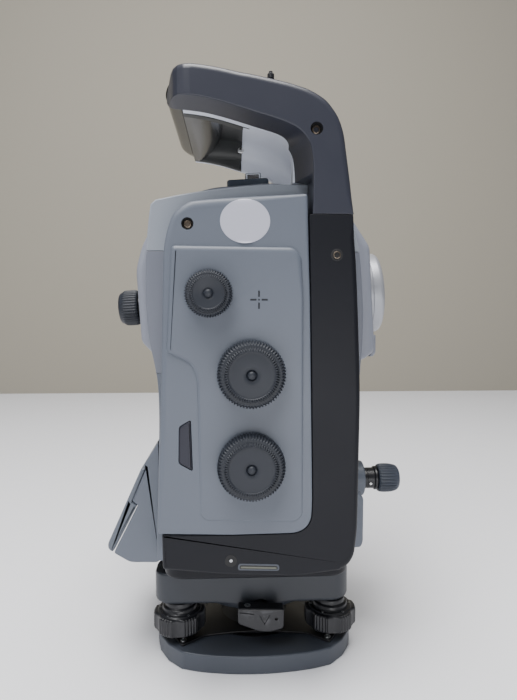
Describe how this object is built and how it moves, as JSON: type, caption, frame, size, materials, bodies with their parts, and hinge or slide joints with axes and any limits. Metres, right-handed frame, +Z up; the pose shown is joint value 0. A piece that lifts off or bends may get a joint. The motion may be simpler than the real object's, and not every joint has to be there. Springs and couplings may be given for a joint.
{
  "type": "surveying total station",
  "caption": "Robotic surveying total station on a levelling tribrach, with side drive knobs, tilting telescope and a carrying handle.",
  "frame": {"origin": "middle of the bounding box in plan, at the underside of the tribrach base plate; the vertical axis is at x = -5.6 mm, y = 5.6 mm", "axes": "+Z up along the vertical axis, +X towards the object sighted (objective side), -Y the side with the drive knobs"},
  "size_m": [0.212, 0.1936, 0.3859],
  "materials": {
    "dark_paint": "satin dark blue-grey paint with a fine texture",
    "light_paint": "satin light blue-grey paint with a fine texture",
    "panel_paint": "satin mid grey paint",
    "rubber_grey": "soft dark grey rubber",
    "black_plastic": "semi-gloss black",
    "grip_grey": "smooth semi-gloss grey",
    "silver": "fine satin anodised",
    "steel": "turned",
    "brass": "machined",
    "optics": "coated",
    "board_green": "solder mask",
    "battery_black": "matt",
    "screen": "flat display"
  },
  "bodies": {
    "base": {"base_plate": "dark_paint", "tripod_thread_bush": "brass", "spring_plate": "black_plastic", "tribrach_head": "dark_paint", "circular_level": "silver", "instrument_flange": "steel", "vertical_spindle": "steel", "horizontal_circle": "optics", "horizontal_drive_ring": "brass"},
    "footscrew_left": {"footscrew_left": "black_plastic"},
    "footscrew_right": {"footscrew_right": "black_plastic"},
    "footscrew_rear": {"footscrew_rear": "black_plastic"},
    "lock_knob": {"lock_knob": "black_plastic"},
    "clamp_ring": {"clamp_ring": "steel"},
    "alidade": {"alidade_base": "dark_paint", "vertical_axis_bearing": "steel", "lower_housing": "light_paint", "face2_housing": "light_paint", "face2_display": "screen", "control_bracket": "light_paint", "bracket_panel": "panel_paint", "near_standard": "light_paint", "far_standard": "light_paint", "trunnion_bearing_near": "steel", "trunnion_bearing_far": "steel", "near_cover": "light_paint", "far_cover": "light_paint", "drive_board": "board_green", "battery": "battery_black", "near_frame": "dark_paint", "far_frame": "dark_paint", "handle_arm_near": "dark_paint", "handle_top": "dark_paint", "handle_liner_near": "light_paint", "handle_liner_far": "light_paint", "handle_grip_outer": "grip_grey", "handle_grip_inner": "grip_grey", "antenna_socket": "steel"},
    "trigger_key": {"trigger_key": "rubber_grey"},
    "face2_key": {"face2_key": "rubber_grey"},
    "bracket_release_key": {"bracket_release_key": "black_plastic"},
    "battery_door": {"battery_door": "panel_paint"},
    "door_latch": {"door_latch": "black_plastic"},
    "plummet_tube": {"plummet_tube": "black_plastic"},
    "plummet_eyepiece": {"plummet_eyepiece": "rubber_grey"},
    "focus_knob": {"focus_knob": "rubber_grey"},
    "vertical_drive_knob": {"vertical_drive_knob": "rubber_grey"},
    "horizontal_drive_knob": {"horizontal_drive_knob": "rubber_grey"},
    "telescope": {"telescope_body": "light_paint", "objective_ring": "silver", "objective_lens": "optics", "tracker_window": "light_paint", "top_sight": "panel_paint", "eyepiece_flange": "silver", "trunnion_shaft_near": "steel", "trunnion_shaft_far": "steel", "vertical_circle": "optics"},
    "focusing_lens": {"focusing_lens": "optics"},
    "eyepiece": {"eyepiece_ring": "rubber_grey", "eyepiece_lens": "optics"}
  },
  "joints": [
    {"name": "footscrew_left_turn", "type": "hinge", "parent": "base", "child": "footscrew_left", "pos_m": [-0.05947, -0.0255, 0.03], "axis": [0, 0, 1], "range_deg": [-1800, 1800]},
    {"name": "footscrew_right_turn", "type": "hinge", "parent": "base", "child": "footscrew_right", "pos_m": [0.04827, -0.0255, 0.03], "axis": [0, 0, 1], "range_deg": [-1800, 1800]},
    {"name": "footscrew_rear_turn", "type": "hinge", "parent": "base", "child": "footscrew_rear", "pos_m": [-0.0056, 0.0678, 0.03], "axis": [0, 0, 1], "range_deg": [-1800, 1800]},
    {"name": "lock_turn", "type": "hinge", "parent": "base", "child": "lock_knob", "pos_m": [-0.0026, -0.0444, 0.041], "axis": [0, -1, 0], "range_deg": [0, 180]},
    {"name": "clamp_ring_turn", "type": "hinge", "parent": "base", "child": "clamp_ring", "pos_m": [-0.0056, 0.0056, 0.05], "axis": [0, 0, 1], "range_deg": [-12.1, 12.1]},
    {"name": "alidade_turn", "type": "hinge", "parent": "base", "child": "alidade", "pos_m": [-0.0056, 0.0056, 0.07], "axis": [0, 0, 1], "continuous": true},
    {"name": "telescope_tilt", "type": "hinge", "parent": "alidade", "child": "telescope", "pos_m": [-0.0056, 0.0056, 0.251], "axis": [0, 1, 0], "continuous": true},
    {"name": "focus_turn", "type": "hinge", "parent": "alidade", "child": "focus_knob", "pos_m": [-0.0348, -0.0894, 0.2525], "axis": [0, 1, 0], "range_deg": [-540, 540]},
    {"name": "focusing_slide", "type": "slide", "parent": "telescope", "child": "focusing_lens", "axis": [0.998, 0, 0.0628], "range_m": [-0.008, 0.008]},
    {"name": "vertical_drive_turn", "type": "hinge", "parent": "alidade", "child": "vertical_drive_knob", "pos_m": [-0.0102, -0.0894, 0.2058], "axis": [0, 1, 0], "continuous": true},
    {"name": "horizontal_drive_turn", "type": "hinge", "parent": "alidade", "child": "horizontal_drive_knob", "pos_m": [-0.0103, -0.0894, 0.151], "axis": [0, 1, 0], "continuous": true},
    {"name": "eyepiece_turn", "type": "hinge", "parent": "telescope", "child": "eyepiece", "pos_m": [-0.09842, 0.0056, 0.24516], "axis": [0.998, 0, 0.0628], "range_deg": [-150, 150]},
    {"name": "plummet_focus_slide", "type": "slide", "parent": "alidade", "child": "plummet_tube", "axis": [1, 0, 0], "range_m": [0, 0.006]},
    {"name": "plummet_eyepiece_turn", "type": "hinge", "parent": "plummet_tube", "child": "plummet_eyepiece", "pos_m": [0.0974, 0.0056, 0.1145], "axis": [1, 0, 0], "range_deg": [-150, 150]},
    {"name": "trigger_press", "type": "slide", "parent": "alidade", "child": "trigger_key", "axis": [0, 1, 0], "range_m": [0, 0.001], "stiffness_N_per_m": 400},
    {"name": "face2_key_press", "type": "slide", "parent": "alidade", "child": "face2_key", "axis": [-1, 0, 0], "range_m": [0, 0.0004], "stiffness_N_per_m": 400},
    {"name": "bracket_release_slide", "type": "slide", "parent": "alidade", "child": "bracket_release_key", "axis": [1, 0, 0], "range_m": [0, 0.003], "stiffness_N_per_m": 300},
    {"name": "battery_door_hinge", "type": "hinge", "parent": "alidade", "child": "battery_door", "pos_m": [-0.0156, 0.0936, 0.1176], "axis": [-1, 0, 0], "range_deg": [0, 100]},
    {"name": "door_latch_slide", "type": "slide", "parent": "battery_door", "child": "door_latch", "axis": [0, 0, -1], "range_m": [0, 0.002], "stiffness_N_per_m": 300}
  ],
  "couplings": [
    {"joint": "clamp_ring_turn", "follows": "lock_turn", "ratio": -0.066667},
    {"joint": "focus_turn", "follows": "focusing_slide", "rad_per_m": 1176.5}
  ]
}
